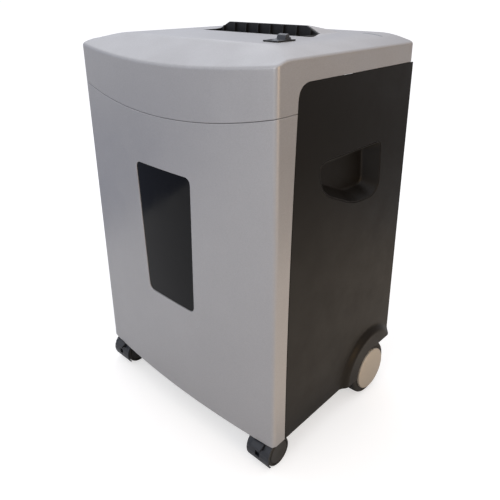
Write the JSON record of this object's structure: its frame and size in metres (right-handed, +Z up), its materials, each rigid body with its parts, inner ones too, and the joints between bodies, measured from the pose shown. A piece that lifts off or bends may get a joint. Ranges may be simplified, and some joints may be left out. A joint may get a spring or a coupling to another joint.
{
  "type": "paper shredder",
  "caption": "Office paper shredder on wheels: silver head with paper throat, pull-out windowed bin, black side panels, braked front casters and fixed rear wheels.",
  "frame": {"origin": "on the floor, at the middle of the footprint", "axes": "+Z up, -Y towards the front of the bin, +X to the right seen from the front"},
  "size_m": [0.452, 0.3464, 0.6545],
  "materials": {
    "silver_paint": "satin silver paint with fine metallic grain",
    "black_panel": "satin black with fine texture",
    "dark_plastic": "dark moulded plastic",
    "grey_plastic": "dark grey moulded plastic",
    "caster_plastic": "hard black caster plastic",
    "tyre": "matt rubber",
    "hub_silver": "satin silver paint",
    "smoked_window": "smoked clear plastic",
    "indicator": "gloss lens",
    "steel": "ground steel",
    "zinc_plate": "zinc-plated sheet steel",
    "circuit_green": "lacquered circuit board"
  },
  "bodies": {
    "housing": {"top_cover": "silver_paint", "throat_guide": "dark_plastic", "switch_bezel": "dark_plastic", "indicator_lens": "indicator", "side_panel_left": "black_panel", "side_panel_right": "black_panel", "grip_cup_left": "black_panel", "grip_cup_right": "black_panel", "rear_panel": "black_panel", "power_inlet": "dark_plastic", "base_pan": "black_panel", "rear_axle": "steel", "caster_stem_left": "steel", "caster_stem_right": "steel", "bin_rail_left": "grey_plastic", "bin_rail_right": "grey_plastic", "cutter_deck": "steel", "cutter_plate_left": "zinc_plate", "cutter_plate_right": "zinc_plate", "tie_rod_1": "steel", "tie_rod_2": "steel", "tie_rod_3": "steel", "tie_rod_4": "steel", "motor_body": "zinc_plate", "stripper_comb_front": "steel", "stripper_comb_rear": "steel", "circuit_board": "circuit_green", "interlock_switch": "dark_plastic", "paper_sensor": "dark_plastic"},
    "rocker": {"power_switch": "grey_plastic"},
    "bin": {"bin_front": "silver_paint", "bin_window": "smoked_window", "bin_box": "dark_plastic"},
    "front_shaft": {"cutter_shaft_front": "steel", "sync_gear_front": "steel", "drive_gear": "steel"},
    "rear_shaft": {"cutter_shaft_rear": "steel", "sync_gear_rear": "steel"},
    "rotor": {"motor_rotor": "steel"},
    "plunger": {"interlock_plunger": "grey_plastic"},
    "rear_wheel_left": {"rear_tyre_left": "tyre", "wheel_core_left": "dark_plastic", "hub_cap_left": "hub_silver"},
    "caster_left": {"caster_hood_left": "grey_plastic", "caster_axle_left": "steel"},
    "caster_left_outer_wheel": {"caster_wheel_left_outer": "caster_plastic"},
    "caster_left_inner_wheel": {"caster_wheel_left_inner": "caster_plastic"},
    "brake_left": {"brake_pedal_left": "grey_plastic"},
    "rear_wheel_right": {"rear_tyre_right": "tyre", "wheel_core_right": "dark_plastic", "hub_cap_right": "hub_silver"},
    "caster_right": {"caster_hood_right": "grey_plastic", "caster_axle_right": "steel"},
    "caster_right_outer_wheel": {"caster_wheel_right_outer": "caster_plastic"},
    "caster_right_inner_wheel": {"caster_wheel_right_inner": "caster_plastic"},
    "brake_right": {"brake_pedal_right": "grey_plastic"}
  },
  "joints": [
    {"name": "power_rocker", "type": "hinge", "parent": "housing", "child": "rocker", "pos_m": [0.138, -0.0635, 0.6426], "axis": [1, 0, 0], "range_deg": [-18, 0]},
    {"name": "bin_slide", "type": "slide", "parent": "housing", "child": "bin", "axis": [0, -1, 0], "range_m": [0, 0.3]},
    {"name": "front_shaft_spin", "type": "hinge", "parent": "housing", "child": "front_shaft", "pos_m": [0, 0.017, 0.532], "axis": [1, 0, 0], "continuous": true},
    {"name": "rear_shaft_spin", "type": "hinge", "parent": "housing", "child": "rear_shaft", "pos_m": [0, 0.061, 0.532], "axis": [1, 0, 0], "continuous": true},
    {"name": "motor_spin", "type": "hinge", "parent": "housing", "child": "rotor", "pos_m": [0, -0.055, 0.532], "axis": [1, 0, 0], "continuous": true},
    {"name": "interlock_press", "type": "slide", "parent": "housing", "child": "plunger", "axis": [0, 1, 0], "range_m": [0, 0.003], "stiffness_N_per_m": 200},
    {"name": "rear_wheel_left_spin", "type": "hinge", "parent": "housing", "child": "rear_wheel_left", "pos_m": [-0.205, 0.1055, 0.05], "axis": [1, 0, 0], "continuous": true},
    {"name": "caster_left_swivel", "type": "hinge", "parent": "housing", "child": "caster_left", "pos_m": [-0.1865, -0.1165, 0.045], "axis": [0, 0, 1], "continuous": true},
    {"name": "caster_left_outer_spin", "type": "hinge", "parent": "caster_left", "child": "caster_left_outer_wheel", "pos_m": [-0.2003, -0.135, 0.024], "axis": [1, 0, 0], "continuous": true},
    {"name": "caster_left_inner_spin", "type": "hinge", "parent": "caster_left", "child": "caster_left_inner_wheel", "pos_m": [-0.1727, -0.135, 0.024], "axis": [1, 0, 0], "continuous": true},
    {"name": "brake_left_press", "type": "hinge", "parent": "caster_left", "child": "brake_left", "pos_m": [-0.1865, -0.152, 0.0464], "axis": [1, 0, 0], "range_deg": [0, 10]},
    {"name": "rear_wheel_right_spin", "type": "hinge", "parent": "housing", "child": "rear_wheel_right", "pos_m": [0.205, 0.1055, 0.05], "axis": [1, 0, 0], "continuous": true},
    {"name": "caster_right_swivel", "type": "hinge", "parent": "housing", "child": "caster_right", "pos_m": [0.1865, -0.1165, 0.045], "axis": [0, 0, 1], "continuous": true},
    {"name": "caster_right_outer_spin", "type": "hinge", "parent": "caster_right", "child": "caster_right_outer_wheel", "pos_m": [0.2003, -0.135, 0.024], "axis": [1, 0, 0], "continuous": true},
    {"name": "caster_right_inner_spin", "type": "hinge", "parent": "caster_right", "child": "caster_right_inner_wheel", "pos_m": [0.1727, -0.135, 0.024], "axis": [1, 0, 0], "continuous": true},
    {"name": "brake_right_press", "type": "hinge", "parent": "caster_right", "child": "brake_right", "pos_m": [0.1865, -0.152, 0.0464], "axis": [1, 0, 0], "range_deg": [0, 10]}
  ],
  "couplings": [
    {"joint": "rear_shaft_spin", "follows": "front_shaft_spin", "ratio": -1},
    {"joint": "motor_spin", "follows": "front_shaft_spin", "ratio": -4}
  ]
}
